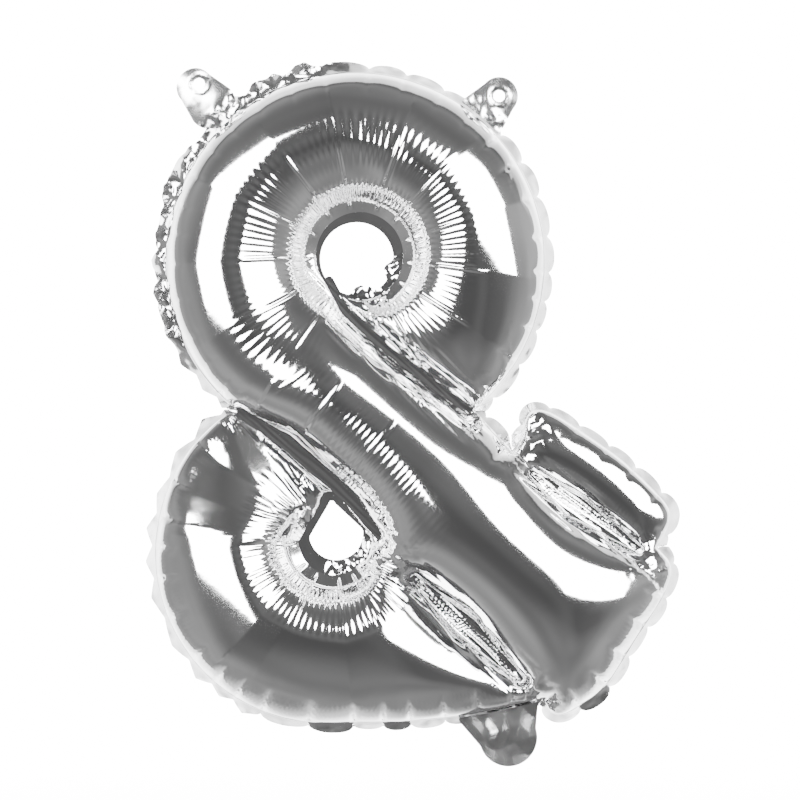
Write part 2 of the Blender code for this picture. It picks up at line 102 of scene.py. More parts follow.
def bearing(centre, point):
    return math.degrees(math.atan2(point[1] - centre[1], point[0] - centre[0]))


def smooth(points, rounds=3):
    for _ in range(rounds):
        cut = [points[0]]
        for (ax, az), (bx, bz) in zip(points, points[1:]):
            cut.append((0.75 * ax + 0.25 * bx, 0.75 * az + 0.25 * bz))
            cut.append((0.25 * ax + 0.75 * bx, 0.25 * az + 0.75 * bz))
        cut.append(points[-1])
        points = cut
    return points


def letter_runs():
    left = bearing(UPPER_BOWL, LEFT_NOTCH) + 360.0
    right = bearing(UPPER_BOWL, RIGHT_NOTCH_TOP)
    upper = [LEFT_NOTCH] + arc(UPPER_BOWL, UPPER_BOWL_RADIUS, left - 2.0, right + 1.0)
    upper += [RIGHT_NOTCH_TOP, RIGHT_NOTCH_FOOT]
    lower = smooth([BOTTOM_NOTCH] + BOWL_BASE)
    lower += arc(LOWER_BOWL, LOWER_BOWL_RADIUS, 270.0, bearing(LOWER_BOWL, LEFT_NOTCH) + 4.0)
    return {
        "upper_bowl": upper,
        "arm": smooth([RIGHT_NOTCH_FOOT] + ARM + [SIDE_NOTCH]),
        "foot": smooth([SIDE_NOTCH] + FOOT + [BOTTOM_NOTCH]),
        "lower_bowl": lower + [LEFT_NOTCH],
    }


RUNS = letter_runs()
OUTLINE = np.vstack([run[:-1] for run in RUNS.values()])


def nearest_on_line(points, line):
    """Distance of each point to an open run of points, and the arc length of the nearest place on it."""
    best = np.full(len(points), np.inf)
    place = np.zeros(len(points))
    start = 0.0
    for a, b in zip(line[:-1], line[1:]):
        run = b - a
        length = float(np.hypot(*run))
        along = np.clip(((points - a) @ run) / length**2, 0.0, 1.0)
        gap = points - a - along[:, None] * run
        away = np.einsum("ij,ij->i", gap, gap)
        closer = away < best
        best[closer] = away[closer]
        place[closer] = start + along[closer] * length
        start += length
    return np.sqrt(best), place


def inside_polygon(points, polygon):
    inside = np.zeros(len(points), bool)
    for a, b in zip(polygon, np.roll(polygon, -1, axis=0)):
        crosses = (a[1] > points[:, 1]) != (b[1] > points[:, 1])
        if a[1] != b[1]:
            at = a[0] + (points[:, 1] - a[1]) * (b[0] - a[0]) / (b[1] - a[1])
            inside ^= crosses & (points[:, 0] < at)
    return inside


def circle(points, centre, radius=0.0):
    return np.hypot(points[:, 0] - centre[0], points[:, 1] - centre[1]) - radius


def band(points, line, halves):
    best = np.full(len(points), np.inf)
    for (a, b), (half_a, half_b) in zip(zip(line, line[1:]), zip(halves, halves[1:])):
        a, b = np.array(a), np.array(b)
        run = b - a
        along = np.clip(((points - a) @ run) / float(run @ run), 0.0, 1.0)
        gap = points - a - along[:, None] * run
        best = np.minimum(best, np.hypot(gap[:, 0], gap[:, 1]) - half_a - (half_b - half_a) * along)
    return best


def outer_and_place(points):
    away, place = nearest_on_line(points, np.vstack([OUTLINE, OUTLINE[:1]]))
    return np.where(inside_polygon(points, OUTLINE), -away, away), place


def upper_crossing(p):
    return band(p, UPPER_CROSSING, UPPER_CROSSING_HALF)


def lower_crossing(p):
    return band(p, LOWER_CROSSING, LOWER_CROSSING_HALF)


def upper_ring(p):
    return circle(p, UPPER_EYE, UPPER_EYE_RADIUS)


def lower_hole(p):
    return band(p, [LOWER_HOLE, LOWER_TIP], [LOWER_HOLE_RADIUS, LOWER_TIP_RADIUS])


def lower_ring(p):
    return band(p, [LOWER_EYE, LOWER_TIP], [LOWER_EYE_RADIUS, LOWER_TIP_RADIUS + LOWER_TIP_WELD])


def lower_island(p):
    return band(p, LOWER_ISLAND, ISLAND_HALF)


def right_island(p):
    return band(p, RIGHT_ISLAND, ISLAND_HALF)


WELDS = (upper_crossing, lower_crossing, upper_ring, lower_ring, lower_island, right_island)


def foil_depth(points):
    """Distance inwards from the nearest weld or hem, positive on the inflated foil."""
    welds = np.min([weld(points) for weld in WELDS], axis=0)
    return -np.maximum(outer_and_place(points)[0], -welds)


# ---- Small numeric helpers ----
def ramp(value, start, end):
    at = np.clip((value - start) / (end - start), 0.0, 1.0)
    return at * at * (3.0 - 2.0 * at)


def hump(value, low, rise, fall, high):
    return ramp(value, low, rise) * (1.0 - ramp(value, fall, high))


def lattice(i, j, seed):
    h = (i.astype(np.int64) * 374761393 + j.astype(np.int64) * 668265263 + seed * 974634777) & 0xFFFFFFFF
    h = ((h ^ (h >> 13)) * 1274126177) & 0xFFFFFFFF
    h = ((h ^ (h >> 15)) * 2246822519) & 0xFFFFFFFF
    return (h ^ (h >> 16)) / 2147483648.0 - 1.0


def noise(x, y, seed):
    """Smooth value noise from -1 to 1 on a unit lattice."""
    x, y = np.broadcast_arrays(np.asarray(x, float), np.asarray(y, float))
    i, j = np.floor(x), np.floor(y)
    u, v = x - i, y - j
    u, v = u * u * u * (u * (6 * u - 15) + 10), v * v * v * (v * (6 * v - 15) + 10)
    low = lattice(i, j, seed) * (1 - u) + lattice(i + 1, j, seed) * u
    high = lattice(i, j + 1, seed) * (1 - u) + lattice(i + 1, j + 1, seed) * u
    return low * (1 - v) + high * v


def crumple(x, y, seed):
    """Sharp-edged folds: ridges where three turned noises cross zero."""
    total = np.zeros(np.broadcast(x, y).shape)
    for k, (angle, scale, share) in enumerate(((0.3, 1.0, 0.5), (1.4, 1.7, 0.3), (2.5, 2.9, 0.2))):
        c, s = math.cos(angle) * scale, math.sin(angle) * scale
        total += share * (1.0 - 2.2 * np.abs(noise(x * c - y * s, x * s + y * c, seed + 17 * k)))
    return total


def facets(x, y, seed):
    """Random heights on a triangular lattice, read flat between its points, as hard creased film lies."""
    x, y = np.broadcast_arrays(np.asarray(x, float), np.asarray(y, float))
    v = y / 0.866
    u = x - 0.5 * v
    i, j = np.floor(u), np.floor(v)
    fu, fv = u - i, v - j
    over = fu + fv > 1.0
    a = np.where(over, lattice(i + 1, j + 1, seed), lattice(i, j, seed))
    b = np.where(over, lattice(i, j + 1, seed), lattice(i + 1, j, seed))
    c = np.where(over, lattice(i + 1, j, seed), lattice(i, j + 1, seed))
    wb = np.where(over, 1.0 - fu, fu)
    wc = np.where(over, 1.0 - fv, fv)
    return a * (1.0 - wb - wc) + b * wb + c * wc


def creased(x, y, seed):
    """Facets of two sizes, turned against each other."""
    large = facets(0.94 * x + 0.34 * y, -0.34 * x + 0.94 * y, seed)
    small = facets(1.8 * (0.6 * x - 0.8 * y), 1.8 * (0.8 * x + 0.6 * y), seed + 9)
    return 0.72 * large + 0.28 * small


def creased_film(points, size, seed):
    return creased(points[:, 0] / size, points[:, 1] / size, seed)


def contours(value, xs, zs, level):
    """Closed loops where a grid of values crosses a level, by marching squares."""
    value = value - level
    value[value == 0.0] = 1e-9
    follow = {}
    place = {}

    def cut(i0, j0, i1, j1):
        key = (min((i0, j0), (i1, j1)), max((i0, j0), (i1, j1)))
        if key not in place:
            a, b = value[i0, j0], value[i1, j1]
            at = a / (a - b)
            place[key] = (xs[i0] * (1 - at) + xs[i1] * at, zs[j0] * (1 - at) + zs[j1] * at)
        return key

    signs = value > 0
    mixed = signs[:-1, :-1].astype(int) + signs[1:, :-1] + signs[1:, 1:] + signs[:-1, 1:]
    for i, j in np.argwhere((mixed > 0) & (mixed < 4)):
        ring = [(i, j), (i + 1, j), (i + 1, j + 1), (i, j + 1)]
        cuts = []
        for p, q in zip(ring, ring[1:] + ring[:1]):
            if signs[p] != signs[q]:
                cuts.append((cut(*p, *q), bool(signs[p])))
        leaves = [key for key, goes_out in cuts if goes_out]
        enters = [key for key, goes_out in cuts if not goes_out]
        if len(leaves) == 2 and cuts[0][1]:
            enters = enters[1:] + enters[:1]
        for start, end in zip(leaves, enters):
            follow[start] = end
    loops = []
    while follow:
        start, key = follow.popitem()
        loop = [place[start]]
        while key != start:
            loop.append(place[key])
            key = follow.pop(key)
        loops.append(np.array(loop))
    return loops


def resample(loop, step):
    """A closed loop with evenly spaced points."""
    closed = np.vstack([loop, loop[:1]])
    at = np.concatenate([[0.0], np.cumsum(np.hypot(*np.diff(closed, axis=0).T))])
    count = max(6, round(at[-1] / step))
    where = np.arange(count) * at[-1] / count
    return np.column_stack([np.interp(where, at, closed[:, k]) for k in (0, 1)])


def grid_points(xs, zs):
    return np.stack(np.meshgrid(xs, zs, indexing="ij"), axis=-1).reshape(-1, 2)


def hexagons(low, high, step):
    rows = []
    for k, z in enumerate(np.arange(low[1], high[1], step * math.sqrt(3) / 2)):
        xs = np.arange(low[0] + (k % 2) * step / 2, high[0], step)
        rows.append(np.column_stack([xs, np.full(len(xs), z)]))
    return np.vstack(rows)


def triangulate(loops, inner, inside):
    """A flat mesh of the loops and inner points, without what lies outside the region."""
    points = [Vector(p) for loop in loops for p in loop]
    edges = []
    start = 0
    for loop in loops:
        edges += [(start + k, start + (k + 1) % len(loop)) for k in range(len(loop))]
        start += len(loop)
    points += [Vector(p) for p in inner]
    places, _, faces, _, _, _ = delaunay_2d_cdt(points, edges, [], 2, 1e-5)
    places = np.array([tuple(p) for p in places])
    faces = np.array([face for face in faces if len(face) == 3])
    faces = faces[inside(places[faces].mean(axis=1)) > -0.2]
    u, v = places[faces[:, 1]] - places[faces[:, 0]], places[faces[:, 2]] - places[faces[:, 0]]
    turn = u[:, 0] * v[:, 1] - u[:, 1] * v[:, 0]
    faces[turn < 0] = faces[turn < 0][:, ::-1]
    used, places_of = np.unique(faces, return_inverse=True)
    return places[used], places_of.reshape(faces.shape)


def rim_of(faces, count):
    sides = np.concatenate([faces[:, [0, 1]], faces[:, [1, 2]], faces[:, [2, 0]]])
    codes = sides[:, 0].astype(np.int64) * count + sides[:, 1]
    back = sides[:, 1].astype(np.int64) * count + sides[:, 0]
    return sides[~np.isin(codes, back)]


def vertex_normals(points, faces):
    flat = np.cross(points[faces[:, 1]] - points[faces[:, 0]], points[faces[:, 2]] - points[faces[:, 0]])
    normal = np.zeros_like(points)
    for k in range(3):
        for axis in range(3):
            normal[:, axis] += np.bincount(faces[:, k], flat[:, axis], len(points))
    return normal


def unit(vectors):
    return vectors / np.maximum(np.linalg.norm(vectors, axis=1), 1e-12)[:, None]


# ---- The inflated height of the foil ----
FINE = 0.5
GRID = 2 * FINE
low_corner = OUTLINE.min(axis=0) - 10.0
high_corner = OUTLINE.max(axis=0) + 10.0
FX = np.arange(low_corner[0], high_corner[0], FINE)
FZ = np.arange(low_corner[1], high_corner[1], FINE)
everywhere = grid_points(FX, FZ)
AWAY, PLACE = [grid.reshape(len(FX), len(FZ)) for grid in outer_and_place(everywhere)]
DEPTH = -np.maximum(AWAY, -np.min([weld(everywhere) for weld in WELDS], axis=0).reshape(AWAY.shape))


def along_and_across(points, start, end):
    run = np.array(end) - np.array(start)
    run = run / np.hypot(*run)
    off = points - np.array(start)
    return off @ run, off @ np.array([-run[1], run[0]])


def bowl_shares(points):
    """How far each point belongs to the upper and to the lower bowl, from 0 to 1."""
    along, across = along_and_across(points, UPPER_CROSSING[0], UPPER_CROSSING[-1])
    upper = np.where(across > 0, 1.0, 1.0 - ramp(along, UPPER_BOWL_START, UPPER_BOWL_END))
    across = along_and_across(points, LEFT_NOTCH, BOTTOM_NOTCH)[1]
    lower = 1.0 - ramp(across, -LOWER_BOWL_BLEND, LOWER_BOWL_BLEND)
    return upper * (1.0 - lower), lower


def solve_potential():
    """The membrane equation on the coarse grid, and its potential over the depth, spread past welds."""
    xs, zs = FX[::2], FZ[::2]
    points = grid_points(xs, zs)
    depth = DEPTH[::2, ::2]
    leaning = bowl_shares(points)[0] * (1.0 - ramp(points[:, 0], LEAN_FULL, LEAN_NONE))
    far_upper = np.maximum(circle(points, UPPER_EYE), 15.0) / UPPER_BOWL_RADIUS
    w = (far_upper ** (-LEAN_POWER * leaning)).reshape(depth.shape)
    east = 0.5 * (w[1:-1, 1:-1] + w[2:, 1:-1])
    west = 0.5 * (w[1:-1, 1:-1] + w[:-2, 1:-1])
    north = 0.5 * (w[1:-1, 1:-1] + w[1:-1, 2:])
    south = 0.5 * (w[1:-1, 1:-1] + w[1:-1, :-2])
    total = east + west + north + south
    load = w[1:-1, 1:-1] * GRID**2
    ii, jj = np.meshgrid(np.arange(total.shape[0]), np.arange(total.shape[1]), indexing="ij")
    inside = depth[1:-1, 1:-1] > 0
    u = np.zeros(depth.shape)
    over = 1.93
    masks = [np.where(inside & ((ii + jj) % 2 == c), over, 0.0) for c in (0, 1)]
    for _ in range(420):
        for mask in masks:
            near = east * u[2:, 1:-1] + west * u[:-2, 1:-1] + north * u[1:-1, 2:] + south * u[1:-1, :-2]
            u[1:-1, 1:-1] += mask * ((near + load) / total - u[1:-1, 1:-1])
    trusted = depth > 1.3
    ratio = np.where(trusted, u / np.maximum(depth, 1.0), 0.0)
    share = trusted.astype(float)
    for _ in range(4):
        spread, count = np.zeros_like(ratio), np.zeros_like(share)
        for dx, dz in ((0, 1), (0, -1), (1, 0), (-1, 0)):
            spread += np.roll(ratio * share, (dx, dz), (0, 1))
            count += np.roll(share, (dx, dz), (0, 1))
        grow = (share == 0) & (count > 0)
        ratio[grow] = spread[grow] / count[grow]
        share[grow] = 1.0
    return xs, zs, u, ratio


PX, PZ, POTENTIAL, RATIO = solve_potential()


def sample(grid, xs, zs, points):
    """Smooth (Catmull-Rom) reading of a grid at any points."""
    fx = np.clip((points[:, 0] - xs[0]) / (xs[1] - xs[0]), 1.0, len(xs) - 3.001)
    fz = np.clip((points[:, 1] - zs[0]) / (zs[1] - zs[0]), 1.0, len(zs) - 3.001)
    i, j = fx.astype(int), fz.astype(int)
    tx, tz = fx - i, fz - j

    def weights(t):
        return (
            0.5 * (-t + 2 * t**2 - t**3),
            0.5 * (2 - 5 * t**2 + 3 * t**3),
            0.5 * (t + 4 * t**2 - 3 * t**3),
            0.5 * (-(t**2) + t**3),
        )

    value = np.zeros(len(points))
    for a, wa in enumerate(weights(tx)):
        for b, wb in enumerate(weights(tz)):
            value += wa * wb * grid[i + a - 1, j + b - 1]
    return value


def read_outline(points):
    """Distance outside the outline and place along it, read from the grid."""
    fx = np.clip((points[:, 0] - FX[0]) / FINE, 0.0, len(FX) - 1.001)
    fz = np.clip((points[:, 1] - FZ[0]) / FINE, 0.0, len(FZ) - 1.001)
    i, j = fx.astype(int), fz.astype(int)
    tx, tz = fx - i, fz - j
    corners = np.array([PLACE[i, j], PLACE[i + 1, j], PLACE[i, j + 1], PLACE[i + 1, j + 1]])
    shares = np.array([(1 - tx) * (1 - tz), tx * (1 - tz), (1 - tx) * tz, tx * tz])
    place = np.sum(corners * shares, axis=0)
    torn = np.ptp(corners, axis=0) > 4.0
    nearest = corners[np.argmax(shares, axis=0), np.arange(len(points))]
    return sample(AWAY, FX, FZ, points), np.where(torn, nearest, place)


def read_depth(points):
    return sample(DEPTH, FX, FZ, points)


def wrinkled_tube(inner, outer_radius):
    """Section of a tube bent round an eye, whose film carries no hoop load: radii and heights."""
    low, high = inner * 1.05, outer_radius * 0.98
    for _ in range(50):
        crest = 0.5 * (low + high)
        span = outer_radius**2 - crest**2
        start = math.asin(max(-0.999, (inner**2 - crest**2) / span))
        tilt = np.linspace(start, math.pi / 2, 3001)
        radius = np.sqrt(crest**2 + span * np.sin(tilt))
        step = np.sin(tilt) * span / (2.0 * radius)
        piece = 0.5 * (step[1:] + step[:-1]) * np.diff(tilt)
        height = np.concatenate([np.cumsum(piece[::-1])[::-1], [0.0]])
        low, high = (crest, high) if height[0] > 0 else (low, crest)
    return radius, height - height[0] * (1.0 - (radius - inner) / (outer_radius - inner))


def ridged_tube(inner, outer_radius, crest, height, power, ledge=0.0):
    """Section with a narrow crest between two rounded flanks, the inner one set back by a ledge."""
    radius = np.linspace(inner, outer_radius, 1500)
    flank = np.where(radius < crest, crest - inner - ledge, outer_radius - crest)
    at = np.minimum(np.abs(radius - crest) / flank, 1.0)
    return radius, height * np.sqrt(np.maximum(1.0 - at**power, 0.0))


UPPER_LEFT_SECTION = wrinkled_tube(23.0, 101.0)
UPPER_RIGHT_SECTION = ridged_tube(23.0, 101.0, 61.5, 30.0, 1.6)
LOWER_SECTION = ridged_tube(19.0, 90.0, 50.0, 29.0, 1.55, 6.0)
# Share of the lower bowl's height left towards its upper left, where the film lies in flat fields
TAPER_ANGLES = [96.0, 110.0, 128.0, 146.0, 162.0, 178.0, 240.0]
TAPER = [1.0, 0.62, 0.40, 0.50, 0.72, 0.90, 1.0]


def section_height(points, ring, section, drawn_in=0.0):
    radii, heights = section
    from_ring = np.maximum(ring(points), 0.0)
    from_hem = np.maximum(-read_outline(points)[0], 0.0)
    at = from_ring / np.maximum(from_ring + from_hem, 1e-6)
    mix = ramp(at, 0.15, 0.85)
    place = (1.0 - mix) * (radii[0] + from_ring) + mix * (radii[-1] - from_hem)
    return np.interp(place + drawn_in * hump(at, 0.35, 0.6, 0.7, 0.97), radii, heights)


def angle_window(theta, low, rise, fall, high):
    turned = (theta - low) % 360.0
    return ramp(turned, 0.0, rise - low) * (1.0 - ramp(turned, fall - low, high - low))


def inflated(points, depth):
    """Height over the weld plane: a membrane's, or a bent tube's where strokes curve round an eye."""
    at_upper, at_lower = polar(points, UPPER_EYE)[1], polar(points, LOWER_EYE)[1]
    upper = angle_window(at_upper, -28.0, 22.0, 200.0, 256.0)
    lower = angle_window(at_lower, 120.0, 150.0, 280.0, 325.0)
    below = along_and_across(points, LEFT_NOTCH, BOTTOM_NOTCH)[1] < 0
    lower = np.where(below, lower, 0.0)
    upper = np.where(below, 0.0, upper)
    left = ramp((at_upper + 60.0) % 360.0 - 60.0, 58.0, 100.0)
    height = (1.0 - upper - lower) * poisson_height(points, depth)
    height += upper * left * section_height(points, upper_ring, UPPER_LEFT_SECTION, 3.0)
    height += upper * (1.0 - left) * section_height(points, upper_ring, UPPER_RIGHT_SECTION)
    height += lower * section_height(points, lower_ring, LOWER_SECTION)
    height *= np.where(below, np.interp(at_lower, TAPER_ANGLES, TAPER), 1.0)
    wide = angle_window(at_lower, 112.0, 135.0, 305.0, 335.0)
    for weld, start, end, slope, lifted, share in (
        (upper_ring, 5.5, 14.0, EYE_WALL_SLOPE, 0.0, 1.0),
        (lower_ring, 6.0, 13.0, EYE_WALL_SLOPE, lower, wide),
        (upper_crossing, 2.0, 8.0, CROSSING_WALL_SLOPE, 0.0, 1.0),
    ):
        away = np.maximum(weld(points), 0.0)
        caught = ramp(away, start, end)
        wall = (1.0 - caught) * slope * away + caught * height
        wall = (1.0 - lifted) * np.minimum(height, wall) + lifted * wall
        height = share * wall + (1.0 - share) * height
    return height


def poisson_height(points, depth):
    direct = sample(POTENTIAL, PX, PZ, points)
    close = sample(RATIO, PX, PZ, points) * depth
    near = 1.0 - ramp(depth, 2.0, 5.0)
    potential = np.maximum(near * close + (1.0 - near) * direct, 0.0)
    thinning = 1.0 - STROKE_THINNING - BOWL_THINNING * np.sum(bowl_shares(points), axis=0)
    return thinning * np.sqrt(2.0 * potential)


# ---- The film's creases and ripples, each measured on its own stroke ----
UPPER_PINCHES = [-60, -33, -8, 18, 45, 70, 101, 127, 155.5, 183, 210, 236]
LOWER_PINCHES = [96, 128, 158, 185.4, 221, 244, 277, 298, 326, 352]
LOWER_PANELS = [96, 128, 174, 227, 277, 326]
CROSS_PINCHES = [
    ((-22.8, -150.0), (-37.2, -159.4), 0.35),
    ((-4.4, -156.4), (-22.0, -178.8), 0.8),
    ((24.0, -176.0), (4.0, -198.0), 0.3),
]


def polar(points, centre):
    off = points - np.array(centre)
    return np.hypot(off[:, 0], off[:, 1]), np.degrees(np.arctan2(off[:, 1], off[:, 0])) % 360.0


def panel_stretch(theta, pinches):
    """How much a flat panel between two pinch lines draws its middle in, as a share of the radius."""
    angles = np.sort(np.mod(pinches, 360.0))
    angles = np.concatenate([[angles[-1] - 360.0], angles, [angles[0] + 360.0]])
    k = np.clip(np.searchsorted(angles, theta) - 1, 0, len(angles) - 2)
    half = np.radians((angles[k + 1] - angles[k]) / 2)
    off = np.radians(theta - (angles[k] + angles[k + 1]) / 2)
    return np.cos(off) / (0.5 + 0.5 * np.cos(half)) - 1.0


def panelled(points, depth):
    """Where to read the height: between pinch lines a bowl's foil runs straight, as flat panels."""
    shares = bowl_shares(points)
    moved = points.copy()
    for share, centre, pinches, amount in (
        (shares[0], UPPER_EYE, UPPER_PINCHES, 0.5),
        (shares[1], LOWER_EYE, LOWER_PANELS, 0.5),
    ):
        rho, theta = polar(points, centre)
        fade = amount * share * ramp(depth, 0.0, 14.0) * ramp(rho, 24.0, 60.0)
        moved += (points - np.array(centre)) * (fade * panel_stretch(theta, pinches))[:, None]
    return moved


def nearest_angle(theta, angles):
    off = (theta[:, None] - np.array(angles)[None, :] + 180.0) % 360.0 - 180.0
    k = np.argmin(np.abs(off), axis=1)
    return off[np.arange(len(theta)), k], k


def pinch(distance, width):
    """A raised fold with a groove on each side."""
    at = distance / width
    return (1.0 - 1.6 * at**2) * np.exp(-(at**2))


def wave(phase, seed):
    """Ripple of period 1, uneven from one crest to the next."""
    bent = phase + 0.22 * noise(phase * 0.37, 0.0, seed)
    height = 0.72 + 0.28 * noise(np.floor(bent + 0.5) * 0.91, 3.3, seed + 5)
    return height * np.cos(2 * math.pi * bent)


def lobe_place(rim_at):
    """From 0 in the crease between two lobes of the rim to 1 in the middle of a lobe, and which lobe."""
    at = rim_at / LOBE_PITCH + 0.35 * noise(rim_at / 45.0, 0.0, 77)
    return 2.0 * np.abs((at % 1.0) - 0.5), np.floor(at + 0.5)


def ripples(points, depth, side):
    """Displacement of the sheet along its normal, in millimetres."""
    seed = 11 if side < 0 else 211
    shares = bowl_shares(points)
    total = np.zeros(len(points))
    rim_away, rim_at = read_outline(points)
    rim = -rim_away
    x, z = points[:, 0], points[:, 1]

    # Comb of ripples and pinch lines round the upper eye
    rho, theta = polar(points, UPPER_EYE)
    arm = ramp(shares[0], 0.15, 0.75)
    patchy = 0.75 + 0.4 * noise(theta / 11.0, 0.0, seed + 1)
    patchy += 0.25 * noise(theta / 29.0, rho / 30.0, seed + 2)
    strong = angle_window(theta, 204.0, 212.0, 228.0, 240.0)
    outwards = strong + 0.6 * angle_window(theta, 34.0, 46.0, 98.0, 110.0)
    short = 11.0 * np.where(theta > 290.0, 1.0, np.clip((36.0 - theta) / 16.0, 0.0, 1.0))
    comb = hump(rho - 9.0 * outwards, 38.0, 49.0, 62.0 - 0.5 * short, 76.0 - short)
    comb *= arm * np.clip(patchy, 0.0, 1.1)
    calm = 1.0 - 0.5 * angle_window(theta, 160.0, 176.0, 196.0, 208.0)
    calm -= 0.55 * angle_window(theta, 106.0, 116.0, 132.0, 140.0)
    total += 0.135 * (calm + 0.9 * strong) * comb * wave(theta / UPPER_COMB_PITCH, seed + 3)
    off, which = nearest_angle(theta, UPPER_PINCHES)
    reach = 66.0 + 9.0 * noise(which * 1.7, 0.5, seed + 4)
    line = hump(rho, 24.5, 29.0, reach - 10.0, reach)
    total += 0.55 * arm * line * pinch(np.radians(off) * rho, 1.1)

    # The same round the lower eye
    rho2, theta2 = polar(points, LOWER_EYE)
    low = ramp(shares[1], 0.4, 0.9)
    patchy = 0.7 + 0.4 * noise(theta2 / 13.0, 0.0, seed + 6)
    comb = hump(rho2, 31.0, 38.0, 45.0, 53.0) * low * np.clip(patchy, 0.1, 1.1)
    total += 0.25 * comb * wave(theta2 / LOWER_COMB_PITCH, seed + 7)
    off, which = nearest_angle(theta2, LOWER_PINCHES)
    line = hump(rho2, 19.5, 23.0, 37.0, 46.0)
    total += 0.5 * low * line * pinch(np.radians(off) * rho2, 1.0)

    # Ripples across the diagonal, beside the lower crossing
    along, across = along_and_across(points, LEFT_NOTCH, BOTTOM_NOTCH)
    straight = 1.0 - np.clip(shares[0] + shares[1], 0.0, 1.0)
    straight = np.maximum(straight, hump(along, 5.0, 25.0, 70.0, 90.0) * hump(across, 0.0, 8.0, 60.0, 75.0))
    upper_across = along_and_across(points, UPPER_CROSSING[0], UPPER_CROSSING[-1])[1]
    straight = np.where(upper_across > 0, 0.0, straight)
    patchy = 0.3 + 0.8 * hump(along, 36.0, 48.0, 88.0, 100.0)
    patchy += 0.2 * noise(along / 6.0, across / 20.0, seed + 9)
    comb = hump(across + 0.2 * (along - 68.0), 10.0, 22.0, 36.0, 46.0) * hump(along, 2.0, 18.0, 108.0, 132.0)
    comb *= straight * np.clip(patchy, 0.0, 1.1)
    total += 0.19 * comb * wave(along / DIAGONAL_COMB_PITCH, seed + 10)
    for start, end, depth_of in CROSS_PINCHES:
        t, s = along_and_across(points, start, end)
        length = math.dist(start, end)
        total += depth_of * hump(t, -3.0, 4.0, length - 4.0, length + 3.0) * pinch(s, 1.0)

    # Fine teeth and lobes along the outer rim
    by_arm = (x > 85.0) & (z > -245.0)
    soft = np.where(z > -150.0, 0.3, 1.0) * np.where(by_arm, 0.25, 1.0)
    teeth = hump(rim, 1.0, 4.0, 8.0, 14.0)
    total += (0.085 + 0.07 * (z < -240.0)) * soft * teeth * wave(rim_at / 2.3, seed + 12)
    total += 0.06 * soft * hump(rim, 0.5, 3.0, 12.0, 24.0) * noise(rim_at / 6.5, 0.0, seed + 13)
    lobes = np.where(z < -160.0, 0.8, 0.25 + 0.55 * ramp(x, 60.0, 85.0))
    lobes *= np.where(by_arm, 0.6, 1.0) * np.where(z < -300.0, 1.4, 1.0)
    cusp = 8.5 * lobe_place(rim_at)[0]
    crease = np.exp(-cusp / 1.25)
    on_arm = (x > 85.0) & (z > -235.0)
    total -= 1.2 * lobes * (1.0 - ramp(rim, 3.0, np.where(on_arm, 8.0, 15.0))) * crease
    swelling = hump(rim, -1.0, 0.5, 3.0, np.where(on_arm, 7.0, 14.0)) * (1.0 - np.exp(-cusp / 4.0))
    total += 0.5 * lobes * swelling

    # Fine radial gathers round both eyes
    total += 0.42 * arm * hump(rho, 28.0, 32.0, 36.0, 41.0) * wave(theta / UPPER_GATHER_PITCH, seed + 16)
    total += 0.36 * low * hump(rho2, 26.0, 30.0, 34.0, 39.0) * wave(theta2 / LOWER_GATHER_PITCH, seed + 17)
    for rho_of, theta_of, share, middle, amount in (
        (rho, theta, arm, 33.5, 0.35),
        (rho2, theta2, low, 31.5, 0.3),
    ):
        collar = amount * share * np.exp(-(((rho_of - middle) / 3.2) ** 2))
        total += collar * crumple(((theta_of + 8.0) % 360.0) / 5.0, rho_of / 4.5, seed + 18)

    # Folds that run along the crossings and the islands, and teeth across them
    for weld, line, amount, reach in (
        (upper_crossing, UPPER_CROSSING, 0.5, 17.0),
        (lower_crossing, LOWER_CROSSING, 0.22, 9.0),
        (lower_island, LOWER_ISLAND, 0.42, 12.0),
        (right_island, RIGHT_ISLAND, 0.42, 12.0),
    ):
        away = weld(points)
        t, s = along_and_across(points, line[0], line[-1])
        near = hump(away, 0.0, 1.2, reach * 0.35, reach)
        folds = 1.0 - 2.0 * np.abs(noise(s / 2.6 + 0.02 * t, t / 26.0, seed + 14))
        total += amount * near * folds
        total += 0.07 * hump(away, 0.5, 3.0, 6.0, 13.0) * wave(t / 2.1, seed + 15)

    # Crumpled patches, and knots of flat facets at the notches
    def spot(place, radius):
        return np.exp(-((circle(points, place) / radius) ** 2))

    patches = 0.55 * spot((13.0, -113.0), 9.0) * (upper_across > -1.0) + 0.30 * spot((90.0, -196.0), 8.0)
    patches += 0.32 * spot((154.0, -244.0), 10.0) + 0.25 * spot((24.0, -247.0), 11.0)
    beside = np.exp(-(((lower_crossing(points) - 5.0) / 4.0) ** 2)) * (across > 0)
    patches += 0.20 * beside * hump(along, 55.0, 80.0, 105.0, 120.0)
    total += patches * 1.3 * crumple(x / 3.1, z / 3.1, seed + 20)
    knots = 1.2 * spot((98.0, -178.0), 9.0) + 1.7 * spot((94.0, -315.0), 8.0)
    knots += 1.5 * spot((103.0, -324.0), 8.0) + 0.6 * spot((157.0, -246.0), 8.0)
    total += 2.0 * knots * creased(x / 5.5, z / 5.5, seed + 30)
    inside = ramp(depth, 0.0, 1.5)
    return total * inside + 0.35 * lobes * (1.0 - inside) * (rim < 1.0) * (0.5 - crease)


# ---- The two sheets ----
RING_STEP = 1.15
ROW_STEP = 1.3
TUBE = 30.0


